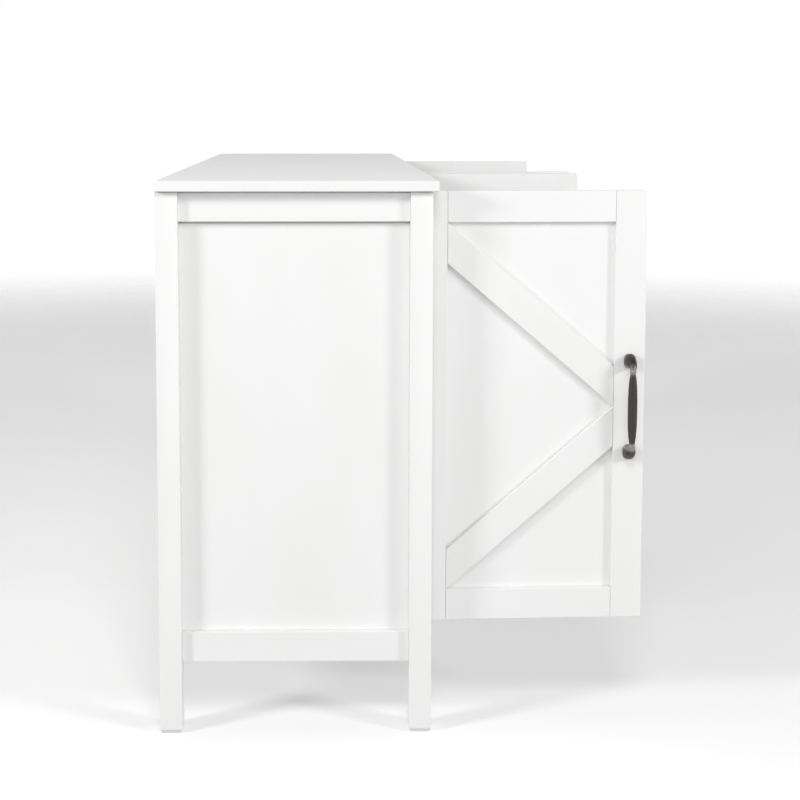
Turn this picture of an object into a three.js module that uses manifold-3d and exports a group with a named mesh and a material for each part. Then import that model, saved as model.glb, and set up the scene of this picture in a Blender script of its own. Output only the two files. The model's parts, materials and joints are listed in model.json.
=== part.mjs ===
// Farmhouse sideboard buffet with four inset doors.
// Millimetres, +Z up. The origin is on the floor under the middle of the cabinet body.
// X runs along the length, the doors are on the -Y side and the back is on the +Y side.
// The doors stand open in the rest position, turned DOOR_REST_DEG from closed.

import * as THREE from 'three';
import { mergeVertices } from 'three/addons/utils/BufferGeometryUtils.js';
import Module from 'manifold-3d';

// Overall size
const LENGTH = 1470;
const DEPTH = 400;
const HEIGHT = 800;

// Tabletop
const TOP_THICK = 15;
const TOP_OVERHANG_END = 10;
const TOP_OVERHANG_FRONT = 8;

// Posts and end frames
const POST = 32;
const FOOT_CHAMFER = 3;
const FOOT_CHAMFER_HEIGHT = 6;
const END_RAIL_THICK = 22;
const END_PANEL_THICK = 12;
const END_TOP_RAIL_TALL = 43;
const END_BOTTOM_RAIL_LOW = 103;
const END_BOTTOM_RAIL_TALL = 44;

// Inner boards
const BOTTOM_TOP_SIDE = 152;
const BOARD = 15;
const FRONT_RAIL_THICK = 22;
const STRETCHER_DEEP = 18;
const STRETCHER_TALL = 40;
const BACK_THICK = 5;
const BACK_INSET = 5;
const SHELF_TOP_SIDE = 475;
const SHELF_SETBACK = 18;
const SHELF_SIDE_PLAY = 1;
const CENTRE_FOOT = 40;
const CENTRE_FOOT_CHAMFER = 4;

// Doors
const DOOR_WIDTH = 334;
const DOOR_LOW = 154.5;
const DOOR_TALL = 629;
const DOOR_THICK = 22;
const STRIP_THICK = 8;
const STRIP_WIDE = 45;
const BRACE_WIDE = 44.5;
const DOOR_SIDE_GAP = 3.5;
const DOOR_REST_DEG = 88;
const JOINT_GAP = 0.3;

// Cup hinges: the pivot is measured from the post's inner face and from the front plane
const PIVOT_FROM_POST = 16;
const PIVOT_BEHIND_FRONT = 9.5;
const HINGE_FROM_DOOR_END = 90;
const CUP_RADIUS = 17.5;
const CUP_DEEP = 11.5;
const CUP_CENTRE_FROM_EDGE = 22.5;
const HINGE_ARM_TALL = 13;
const HINGE_ARM_BEGIN = 32;
const HINGE_ARM_END = 86;
const HINGE_PLATE_BEGIN = 40;
const HINGE_PLATE_TALL = 48;
const HINGE_PLATE_THICK = 3;
const HINGE_ARM_RISE = 12;
const HINGE_LINK_RADIUS = 20;
const HINGE_LINK_THICK = 3;
const HINGE_LINK_FROM_DEG = 12;
const HINGE_LINK_TO_DEG = 104;

// Pulls
const PULL_CENTRES = 138;
const PULL_FOOT_RADIUS = 9.5;
const PULL_FOOT_DEEP = 18;
const PULL_COLLAR_RADIUS = 8.5;
const PULL_GRIP_OFFSET = 24;
const PULL_GRIP_RADIUS = 6.8;
const PULL_NECK_RADIUS = 3.6;
const PULL_ELBOW_RADIUS = 6.4;
const PULL_SIDES = 16;
const CUP_SIDES = 32;
const LINK_STEPS = 8;

// Planes worked out from the sizes above
const topUnderside = HEIGHT - TOP_THICK;
const postOuterX = LENGTH / 2 - TOP_OVERHANG_END;
const postInnerX = postOuterX - POST;
const bodyHalfDepth = (DEPTH - TOP_OVERHANG_FRONT) / 2;
const frontY = -bodyHalfDepth;
const backY = bodyHalfDepth;
const postBackY = frontY + POST;
const stretcherBackY = postBackY + STRETCHER_DEEP;
const backPanelBackY = backY - BACK_INSET;
const backPanelFrontY = backPanelBackY - BACK_THICK;
const bottomUnderside = BOTTOM_TOP_SIDE - BOARD;
const dividerHalf = BOARD / 2;
const centrePostHalf = POST / 2;
const doorPivotY = frontY + PIVOT_BEHIND_FRONT;

const FINISHES = {
  paint: { color: '#f2f2f0', roughness: 0.42, metalness: 0 },
  backing: { color: '#efefed', roughness: 0.6, metalness: 0 },
  pull: { color: '#3c3a39', roughness: 0.38, metalness: 0.7 },
  hinge: { color: '#b9bbbd', roughness: 0.3, metalness: 1 },
};

const wasm = await Module();
wasm.setup();

const sideboard = new THREE.Group();

// Adds one named piece with a material of its own to its parent group.
function addPiece(parent, name, geometry, finish) {
  const mesh = new THREE.Mesh(geometry, new THREE.MeshStandardMaterial(FINISHES[finish]));
  mesh.name = name;
  parent.add(mesh);
  return mesh;
}

// A rectangular board between two corners, given in either order.
function boardGeometry([ax, ay, az], [bx, by, bz]) {
  const box = new THREE.BoxGeometry(Math.abs(bx - ax), Math.abs(by - ay), Math.abs(bz - az));
  box.translate((ax + bx) / 2, (ay + by) / 2, (az + bz) / 2);
  return box;
}

function addBoard(parent, name, cornerA, cornerB, finish = 'paint') {
  return addPiece(parent, name, boardGeometry(cornerA, cornerB), finish);
}

// A flat outline drawn in X and Z, given thickness along Y from nearY to farY.
function uprightSlab(points, nearY, farY) {
  const outline = new THREE.Shape(points.map(([x, z]) => new THREE.Vector2(x, z)));
  const slab = new THREE.ExtrudeGeometry(outline, { depth: farY - nearY, bevelEnabled: false });
  slab.rotateX(Math.PI / 2);
  slab.translate(0, farY, 0);
  return slab;
}

// Turns a closed geometry into a solid that can be joined and cut.
function toSolid(geometry) {
  const bare = geometry.clone();
  bare.deleteAttribute('normal');
  bare.deleteAttribute('uv');
  const merged = mergeVertices(bare, 1e-4);
  return new wasm.Manifold(new wasm.Mesh({
    numProp: 3,
    vertProperties: new Float32Array(merged.attributes.position.array),
    triVerts: new Uint32Array(merged.index.array),
  }));
}

function toGeometry(solid) {
  const mesh = solid.getMesh();
  const geometry = new THREE.BufferGeometry();
  geometry.setAttribute('position', new THREE.BufferAttribute(mesh.vertProperties, 3));
  geometry.setIndex(new THREE.BufferAttribute(mesh.triVerts, 1));
  geometry.computeVertexNormals();
  return geometry;
}

// A square post standing on the floor, with a chamfer round its foot. It stands at the centre of its own axes.
function postGeometry(width, tall, chamfer, chamferTall) {
  const half = (width / 2) * Math.SQRT2;
  const foot = ((width - 2 * chamfer) / 2) * Math.SQRT2;
  const profile = [[0, 0], [foot, 0], [half, chamferTall], [half, tall], [0, tall]];
  const post = new THREE.LatheGeometry(profile.map(([r, z]) => new THREE.Vector2(r, z)), 4);
  post.rotateX(Math.PI / 2);
  post.rotateZ(Math.PI / 4);
  return post;
}

// Cabinet body --------------------------------------------------------------------------------

function addTabletop() {
  addBoard(
    sideboard,
    'tabletop',
    [-LENGTH / 2, frontY - TOP_OVERHANG_FRONT, topUnderside],
    [LENGTH / 2, backY, HEIGHT],
  );
}

function addLegs() {
  for (const [side, sx] of [['left', -1], ['right', 1]]) {
    for (const [end, sy] of [['front', -1], ['back', 1]]) {
      const post = postGeometry(POST, topUnderside, FOOT_CHAMFER, FOOT_CHAMFER_HEIGHT);
      const leg = addPiece(sideboard, `leg_${end}_${side}`, post, 'paint');
      leg.position.set(sx * (postOuterX - POST / 2), sy * (bodyHalfDepth - POST / 2), 0);
    }
  }
}

function addEndFrames() {
  const topRailLow = topUnderside - END_TOP_RAIL_TALL;
  const bottomRailHigh = END_BOTTOM_RAIL_LOW + END_BOTTOM_RAIL_TALL;
  const rails = [
    ['end_rail_top', topRailLow, topUnderside, END_RAIL_THICK],
    ['end_rail_bottom', END_BOTTOM_RAIL_LOW, bottomRailHigh, END_RAIL_THICK],
    ['end_panel', bottomRailHigh, topRailLow, END_PANEL_THICK],
  ];
  for (const [side, sx] of [['left', -1], ['right', 1]]) {
    for (const [name, low, high, thick] of rails) {
      addBoard(
        sideboard,
        `${name}_${side}`,
        [sx * postInnerX, postBackY, low],
        [sx * (postInnerX + thick), backY - POST, high],
      );
    }
  }
}

function addInnerBoards() {
  addBoard(
    sideboard,
    'front_bottom_rail',
    [-postInnerX, frontY, END_BOTTOM_RAIL_LOW],
    [postInnerX, frontY + FRONT_RAIL_THICK, BOTTOM_TOP_SIDE],
  );
  addBoard(
    sideboard,
    'bottom_panel',
    [-postInnerX, frontY + FRONT_RAIL_THICK, bottomUnderside],
    [postInnerX, backPanelFrontY, BOTTOM_TOP_SIDE],
  );
  addBoard(
    sideboard,
    'back_panel',
    [-postInnerX, backPanelFrontY, bottomUnderside],
    [postInnerX, backPanelBackY, topUnderside],
    'backing',
  );
  addBoard(
    sideboard,
    'centre_post',
    [-centrePostHalf, frontY, BOTTOM_TOP_SIDE],
    [centrePostHalf, postBackY, topUnderside],
  );
  addBoard(
    sideboard,
    'front_top_stretcher',
    [-postInnerX, postBackY, topUnderside - STRETCHER_TALL],
    [postInnerX, stretcherBackY, topUnderside],
  );
  addDivider();
  addShelves();
  const foot = postGeometry(CENTRE_FOOT, bottomUnderside, CENTRE_FOOT_CHAMFER, FOOT_CHAMFER_HEIGHT);
  addPiece(sideboard, 'centre_foot', foot, 'paint');
}

// The divider's upper front corner is notched, so that the stretcher runs through.
function addDivider() {
  const notchLow = topUnderside - STRETCHER_TALL;
  const outline = [
    [postBackY, BOTTOM_TOP_SIDE],
    [backPanelFrontY, BOTTOM_TOP_SIDE],
    [backPanelFrontY, topUnderside],
    [stretcherBackY, topUnderside],
    [stretcherBackY, notchLow],
    [postBackY, notchLow],
  ];
  const divider = uprightSlab(outline, -dividerHalf, dividerHalf);
  divider.rotateZ(Math.PI / 2);
  addPiece(sideboard, 'centre_divider', divider, 'paint');
}

function addShelves() {
  for (const [side, sx] of [['left', -1], ['right', 1]]) {
    addBoard(
      sideboard,
      `shelf_${side}`,
      [sx * (dividerHalf + SHELF_SIDE_PLAY), postBackY + SHELF_SETBACK, SHELF_TOP_SIDE - BOARD],
      [sx * (postInnerX - SHELF_SIDE_PLAY), backPanelFrontY - SHELF_SIDE_PLAY, SHELF_TOP_SIDE],
    );
  }
}

// Doors ---------------------------------------------------------------------------------------

// A door's own group turns about its hinge pivot. Across the door, u is measured from the pivot
// away from the hinge; through its thickness, Y runs from the outer face to the inner face.
const doorHingeU = -(PIVOT_FROM_POST - DOOR_SIDE_GAP);
const doorFreeU = doorHingeU + DOOR_WIDTH;
const doorOuterY = -PIVOT_BEHIND_FRONT;
const doorInnerY = doorOuterY + DOOR_THICK;
const stripBackY = doorOuterY + STRIP_THICK;
const fieldHingeU = doorHingeU + STRIP_WIDE + JOINT_GAP;
const fieldFreeU = doorFreeU - STRIP_WIDE - JOINT_GAP;

// The upright cut of a brace is taller than its true width, because the brace is slanted. It
// follows from the brace's run, its rise and its width as the root of a quadratic.
function braceCutHeight(run, rise) {
  const ratio = (run / BRACE_WIDE) ** 2;
  const a = ratio - 1;
  const b = 2 * rise;
  const c = -(run ** 2 + rise ** 2);
  return (-b + Math.sqrt(b * b - 4 * a * c)) / (2 * a);
}

function doorPanelGeometry(mirror) {
  const slab = boardGeometry(
    [mirror * doorHingeU, stripBackY + JOINT_GAP, 0],
    [mirror * doorFreeU, doorInnerY, DOOR_TALL],
  );
  let solid = toSolid(slab);
  for (const z of [HINGE_FROM_DOOR_END, DOOR_TALL - HINGE_FROM_DOOR_END]) {
    const cutter = new THREE.CylinderGeometry(CUP_RADIUS, CUP_RADIUS, 2 * CUP_DEEP, CUP_SIDES);
    cutter.translate(mirror * (doorHingeU + CUP_CENTRE_FROM_EDGE), doorInnerY, z);
    solid = solid.subtract(toSolid(cutter));
  }
  return toGeometry(solid);
}

function addBraces(door, number, mirror) {
  const middle = DOOR_TALL / 2;
  const rise = middle - STRIP_WIDE - 1.5 * JOINT_GAP;
  const cut = braceCutHeight(fieldFreeU - fieldHingeU, rise);
  for (const [name, up] of [['brace_upper', 1], ['brace_lower', -1]]) {
    const tipZ = JOINT_GAP / 2;
    const outline = [
      [fieldHingeU, tipZ + rise],
      [fieldFreeU, tipZ + cut],
      [fieldFreeU, tipZ],
      [fieldHingeU, tipZ + rise - cut],
    ];
    const placed = outline.map(([u, z]) => [mirror * u, middle + up * z]);
    addPiece(door, `door_${number}_${name}`, uprightSlab(placed, doorOuterY, stripBackY), 'paint');
  }
}

// A grip that is thickest in the middle, joined by a round elbow to a ringed foot at each end.
function pullGeometry() {
  const reach = PULL_CENTRES / 2;
  const gripSteps = [-1, -0.75, -0.5, -0.25, 0, 0.25, 0.5, 0.75, 1];
  const gripProfile = gripSteps.map((t) => new THREE.Vector2(
    PULL_NECK_RADIUS + (PULL_GRIP_RADIUS - PULL_NECK_RADIUS) * Math.cos((t * Math.PI) / 2) ** 0.8,
    t * reach,
  ));
  const ends = [new THREE.Vector2(0, -reach), new THREE.Vector2(0, reach)];
  const grip = new THREE.LatheGeometry([ends[0], ...gripProfile, ends[1]], PULL_SIDES);
  grip.rotateX(Math.PI / 2);
  grip.translate(0, -PULL_GRIP_OFFSET, 0);
  let solid = toSolid(grip);
  const footProfile = [
    [0, 0],
    [PULL_FOOT_RADIUS, 0],
    [PULL_FOOT_RADIUS, 0.25 * PULL_FOOT_DEEP],
    [PULL_COLLAR_RADIUS, 0.4 * PULL_FOOT_DEEP],
    [PULL_COLLAR_RADIUS, 0.6 * PULL_FOOT_DEEP],
    [PULL_FOOT_RADIUS, 0.75 * PULL_FOOT_DEEP],
    [PULL_FOOT_RADIUS, PULL_FOOT_DEEP],
    [0, PULL_FOOT_DEEP],
  ];
  for (const end of [-1, 1]) {
    const foot = new THREE.LatheGeometry(footProfile.map(([r, h]) => new THREE.Vector2(r, h)), PULL_SIDES);
    foot.rotateX(Math.PI);
    foot.translate(0, 0, end * reach);
    const elbow = new THREE.SphereGeometry(PULL_ELBOW_RADIUS, PULL_SIDES, PULL_SIDES / 2);
    elbow.translate(0, -PULL_GRIP_OFFSET + PULL_ELBOW_RADIUS / 2, end * reach);
    solid = solid.add(toSolid(foot)).add(toSolid(elbow));
  }
  return toGeometry(solid);
}

function addDoor(number, hingeX, mirror) {
  const door = new THREE.Group();
  door.position.set(hingeX + mirror * PIVOT_FROM_POST, doorPivotY, DOOR_LOW);
  door.rotation.z = -mirror * THREE.MathUtils.degToRad(DOOR_REST_DEG);
  sideboard.add(door);

  addPiece(door, `door_${number}_panel`, doorPanelGeometry(mirror), 'paint');
  const strips = [
    ['hinge_stile', doorHingeU, doorHingeU + STRIP_WIDE, 0, DOOR_TALL],
    ['handle_stile', doorFreeU - STRIP_WIDE, doorFreeU, 0, DOOR_TALL],
    ['bottom_rail', fieldHingeU, fieldFreeU, 0, STRIP_WIDE],
    ['top_rail', fieldHingeU, fieldFreeU, DOOR_TALL - STRIP_WIDE, DOOR_TALL],
  ];
  for (const [name, fromU, toU, low, high] of strips) {
    addBoard(
      door,
      `door_${number}_${name}`,
      [mirror * fromU, doorOuterY, low],
      [mirror * toU, stripBackY, high],
    );
  }
  addBraces(door, number, mirror);
  const pull = addPiece(door, `door_${number}_handle`, pullGeometry(), 'pull');
  pull.position.set(mirror * (doorFreeU - STRIP_WIDE / 2), doorOuterY - JOINT_GAP, DOOR_TALL / 2);
}

// The cabinet half of a cup hinge: a plate on the cabinet side, an arm on the plate, and a hooked
// link that runs round the pivot from the arm towards the cup. plateX is the face it stands on,
// and the whole hinge is drawn in X and Y, then given its height along Z.
function addHingeArm(name, plateX, pivotX, mirror, z) {
  const plateEdge = mirror * (plateX - pivotX);
  const armEdge = HINGE_ARM_RISE - PIVOT_FROM_POST;
  const fromPivot = (behindFront) => behindFront - PIVOT_BEHIND_FRONT;
  const outline = new THREE.Shape();
  outline.moveTo(plateEdge, fromPivot(HINGE_PLATE_BEGIN));
  outline.lineTo(-PIVOT_FROM_POST + HINGE_PLATE_THICK, fromPivot(HINGE_PLATE_BEGIN));
  outline.lineTo(armEdge - 6, fromPivot(HINGE_ARM_BEGIN));
  const start = THREE.MathUtils.degToRad(HINGE_LINK_TO_DEG);
  const end = THREE.MathUtils.degToRad(HINGE_LINK_FROM_DEG);
  for (let i = 0; i <= LINK_STEPS; i += 1) {
    const angle = start + ((end - start) * i) / LINK_STEPS;
    const radius = HINGE_LINK_RADIUS;
    outline.lineTo(radius * Math.cos(angle), radius * Math.sin(angle));
  }
  for (let i = LINK_STEPS; i >= 1; i -= 1) {
    const angle = start + ((end - start) * i) / LINK_STEPS;
    const radius = HINGE_LINK_RADIUS + HINGE_LINK_THICK;
    outline.lineTo(radius * Math.cos(angle), radius * Math.sin(angle));
  }
  outline.lineTo(armEdge, fromPivot(HINGE_ARM_BEGIN + 4));
  outline.lineTo(armEdge, fromPivot(HINGE_ARM_END));
  outline.lineTo(plateEdge, fromPivot(HINGE_ARM_END));
  const arm = new THREE.ExtrudeGeometry(outline, { depth: HINGE_ARM_TALL, bevelEnabled: false });
  arm.translate(0, 0, -HINGE_ARM_TALL / 2);
  const wing = boardGeometry(
    [plateEdge, fromPivot(HINGE_PLATE_BEGIN + 10), -HINGE_PLATE_TALL / 2],
    [-PIVOT_FROM_POST + HINGE_PLATE_THICK, fromPivot(HINGE_PLATE_BEGIN + 28), HINGE_PLATE_TALL / 2],
  );
  let solid = toSolid(arm).add(toSolid(wing));
  if (mirror < 0) {
    solid = solid.mirror([1, 0, 0]);
  }
  const piece = addPiece(sideboard, name, toGeometry(solid), 'hinge');
  piece.position.set(pivotX, doorPivotY, z);
}

function addDoorWithHinges(number, postFaceX, plateX, mirror) {
  addDoor(number, postFaceX, mirror);
  const pivotX = postFaceX + mirror * PIVOT_FROM_POST;
  const heights = [
    ['lower', DOOR_LOW + HINGE_FROM_DOOR_END],
    ['upper', DOOR_LOW + DOOR_TALL - HINGE_FROM_DOOR_END],
  ];
  for (const [place, z] of heights) {
    addHingeArm(`hinge_arm_${number}_${place}`, plateX, pivotX, mirror, z);
  }
}

// Assembly ------------------------------------------------------------------------------------

addTabletop();
addLegs();
addEndFrames();
addInnerBoards();
addDoorWithHinges(1, -postInnerX, -postInnerX, 1);
addDoorWithHinges(2, -centrePostHalf, -dividerHalf, -1);
addDoorWithHinges(3, centrePostHalf, dividerHalf, 1);
addDoorWithHinges(4, postInnerX, postInnerX, -1);

export default sideboard;
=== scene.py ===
"""Looks of a farmhouse sideboard buffet with four inset doors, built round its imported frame.

The frame gives every board its place and size. This script eases the boards' edges, cuts thin shadow gaps
at the ends' joints and paints them. It adds the hardware: pulls, cup hinges, shelf pins, cover caps, magnetic
catches, screws and nails. Lengths are in metres.
"""

from __future__ import annotations

import json
import logging
import math
from dataclasses import dataclass, field, replace
from enum import Enum
from typing import Sequence

import bmesh
import bpy
from mathutils import Matrix, Vector


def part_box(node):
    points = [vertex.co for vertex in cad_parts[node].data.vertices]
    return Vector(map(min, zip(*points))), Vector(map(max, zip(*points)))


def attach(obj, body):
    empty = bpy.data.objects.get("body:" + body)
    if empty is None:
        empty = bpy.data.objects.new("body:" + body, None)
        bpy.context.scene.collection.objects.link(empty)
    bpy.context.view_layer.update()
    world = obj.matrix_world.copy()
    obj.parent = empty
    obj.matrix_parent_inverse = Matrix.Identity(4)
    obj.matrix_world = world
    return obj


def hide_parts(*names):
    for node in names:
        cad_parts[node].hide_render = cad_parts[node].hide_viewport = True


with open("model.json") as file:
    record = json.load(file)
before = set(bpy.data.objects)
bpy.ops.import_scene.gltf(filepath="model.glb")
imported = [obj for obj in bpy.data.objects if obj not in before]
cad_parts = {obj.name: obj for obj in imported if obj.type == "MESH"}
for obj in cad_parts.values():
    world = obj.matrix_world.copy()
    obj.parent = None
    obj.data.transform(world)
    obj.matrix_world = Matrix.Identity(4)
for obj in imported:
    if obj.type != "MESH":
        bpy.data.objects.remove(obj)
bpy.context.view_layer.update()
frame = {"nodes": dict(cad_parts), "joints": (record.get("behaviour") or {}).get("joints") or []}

MM = 0.001
LOG = logging.getLogger("sideboard")
Point2 = tuple[float, float]
Colour = tuple[float, float, float, float]


# Shader helpers ------------------------------------------------------------------------------


def linear(code: str) -> Colour:
    """Turn an sRGB hex colour into linear RGBA.

    Args:
        code: The colour as "#RRGGBB".

    Returns:
        The linear red, green and blue, and an alpha of one.
    """
    channels = (int(code[i : i + 2], 16) / 255 for i in (1, 3, 5))
    red, green, blue = (c / 12.92 if c <= 0.04045 else ((c + 0.055) / 1.055) ** 2.4 for c in channels)
    return red, green, blue, 1.0


def per_metre(size_mm: float) -> float:
    """Texture scale whose features are size_mm across."""
    return 1.0 / (size_mm * MM)


def add_node(
    tree: bpy.types.NodeTree,
    kind: str,
    settings: dict[str | int, object] | None = None,
    links: dict[str | int, bpy.types.NodeSocket] | None = None,
) -> bpy.types.Node:
    """Add a shader node with its settings and incoming links.

    Args:
        tree: The node tree that gets the node.
        kind: The node's type, without its ShaderNode prefix.
        settings: Values of inputs by name or number, or attributes of the node by name.
        links: Outputs of other nodes that feed its inputs, by input name or number.

    Returns:
        The new node.
    """
    node = tree.nodes.new("ShaderNode" + kind)
    for key, value in (settings or {}).items():
        if isinstance(key, int) or key in node.inputs:
            node.inputs[key].default_value = value
        else:
            setattr(node, key, value)
    for key, output in (links or {}).items():
        tree.links.new(output, node.inputs[key])
    return node


# Finishes ------------------------------------------------------------------------------------


@dataclass(frozen=True)
class Finish:
    """A surface finish, made once and shared by the pieces that have it.

    Attributes:
        name: What the real material is, and how its surface was made.
        slot: The record's material slot it belongs to. It is not used.
    """

    name: str
    slot: str

    def material(self) -> bpy.types.Material:
        """Make the finish's material, or find the one made before.

        Returns:
            The material.
        """
        made = bpy.data.materials.get(self.name)
        if made is None:
            made = bpy.data.materials.new(self.name)
            made.use_nodes = True
            made.node_tree.nodes.clear()
            surface = self.surface(made.node_tree)
            add_node(made.node_tree, "OutputMaterial", links={"Surface": surface.outputs["BSDF"]})
        return made

    def surface(self, tree: bpy.types.NodeTree) -> bpy.types.Node:
        """Build the finish's shader in an empty tree and return its last node."""
        raise NotImplementedError

    @staticmethod
    def noise(
        tree: bpy.types.NodeTree, size_mm: float, stretch: float = 1.0, detail: float = 2.0
    ) -> bpy.types.NodeSocket:
        """Add a noise pattern in the piece's own axes.

        Args:
            tree: The node tree.
            size_mm: The width of its features.
            stretch: How many times longer they are along the piece's X axis.
            detail: How many finer layers are laid over them.

        Returns:
            The pattern's value, around one half.
        """
        place = add_node(tree, "TexCoord").outputs["Object"]
        if stretch != 1.0:
            squeeze = add_node(tree, "Mapping", {"Scale": (1.0 / stretch, 1.0, 1.0)}, {"Vector": place})
            place = squeeze.outputs["Vector"]
        pattern = add_node(
            tree, "TexNoise", {"Scale": per_metre(size_mm), "Detail": detail}, {"Vector": place}
        )
        return pattern.outputs["Fac"]

    @staticmethod
    def spread(
        tree: bpy.types.NodeTree, value: bpy.types.NodeSocket, low: float, high: float
    ) -> bpy.types.NodeSocket:
        """Spread the middle of a noise pattern over a range, and return the result."""
        settings = {"From Min": 0.3, "From Max": 0.7, "To Min": low, "To Max": high}
        return add_node(tree, "MapRange", settings, {"Value": value}).outputs["Result"]

    @staticmethod
    def blend(
        tree: bpy.types.NodeTree, share: bpy.types.NodeSocket, first: str, second: str
    ) -> bpy.types.NodeSocket:
        """Mix two sRGB hex colours by a share, and return the colour."""
        settings = {"Color1": linear(first), "Color2": linear(second)}
        return add_node(tree, "MixRGB", settings, {"Fac": share}).outputs["Color"]

    @staticmethod
    def relief(
        tree: bpy.types.NodeTree,
        layers: Sequence[tuple[bpy.types.NodeSocket, float]],
    ) -> bpy.types.NodeSocket:
        """Stack bump layers.

        Args:
            tree: The node tree.
            layers: Each layer's height pattern, and the height in millimetres that it stands for.

        Returns:
            The normal that they give.
        """
        normal = None
        for height, depth_mm in layers:
            links = {"Height": height} | ({"Normal": normal} if normal else {})
            bump = add_node(tree, "Bump", {"Strength": 1.0, "Distance": depth_mm * MM}, links)
            normal = bump.outputs["Normal"]
        return normal


@dataclass(frozen=True)
class SprayedLacquer(Finish):
    """Satin white water-based lacquer sprayed on fibreboard and solid strips.

    To the eye it is an even soft white with a low sheen. Close up it has the fine orange peel of a spray
    gun, and a trace of the sanded board under it runs along each piece.
    """

    name: str = "satin_white_lacquer_sprayed"
    slot: str = "white_painted_board"
    white: str = "#F1F1F1"
    shade: str = "#EEEEED"
    sheen_low: float = 0.36
    sheen_high: float = 0.46
    mottle_mm: float = 110.0
    # Real orange peel is about 1 mm across. It is drawn a little coarser, so that it shows.
    peel_mm: float = 1.8
    peel_depth_mm: float = 0.012
    sanding_mm: float = 1.1
    sanding_depth_mm: float = 0.012
    sanding_stretch: float = 45.0

    def surface(self, tree: bpy.types.NodeTree) -> bpy.types.Node:
        """Build an even white with a fine peel, a lengthwise sanding trace and a slightly uneven sheen.

        Args:
            tree: The material's empty node tree.

        Returns:
            The shader's last node.
        """
        mottle = self.noise(tree, self.mottle_mm, stretch=3.0)
        peel = self.noise(tree, self.peel_mm)
        sanding = self.noise(tree, self.sanding_mm, stretch=self.sanding_stretch, detail=3.0)
        links = {
            "Base Color": self.blend(tree, self.spread(tree, mottle, 0.0, 1.0), self.white, self.shade),
            "Roughness": self.spread(tree, sanding, self.sheen_low, self.sheen_high),
            "Normal": self.relief(tree, [(sanding, self.sanding_depth_mm), (peel, self.peel_depth_mm)]),
        }
        return add_node(tree, "BsdfPrincipled", {"IOR": 1.5}, links)


@dataclass(frozen=True)
class LacqueredHardboard(Finish):
    """Thin hardboard with one roller-coated white face, used for the back.

    It is flatter and more matt than the lacquered boards, and the pressed fibres show as short flecks.
    """

    name: str = "white_roller_coated_hardboard"
    slot: str = "white_back_board"
    white: str = "#EAEAE8"
    shade: str = "#E6E6E4"
    roughness: float = 0.62
    fibre_mm: float = 1.6
    fibre_depth_mm: float = 0.03
    roller_mm: float = 45.0

    def surface(self, tree: bpy.types.NodeTree) -> bpy.types.Node:
        """Build a matt white with pressed fibre flecks under long roller bands.

        Args:
            tree: The material's empty node tree.

        Returns:
            The shader's last node.
        """
        fibre = self.noise(tree, self.fibre_mm, stretch=5.0, detail=4.0)
        roller = self.noise(tree, self.roller_mm, stretch=16.0)
        links = {
            "Base Color": self.blend(tree, self.spread(tree, roller, 0.0, 1.0), self.white, self.shade),
            "Normal": self.relief(tree, [(fibre, self.fibre_depth_mm)]),
        }
        return add_node(tree, "BsdfPrincipled", {"IOR": 1.5, "Roughness": self.roughness}, links)


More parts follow.
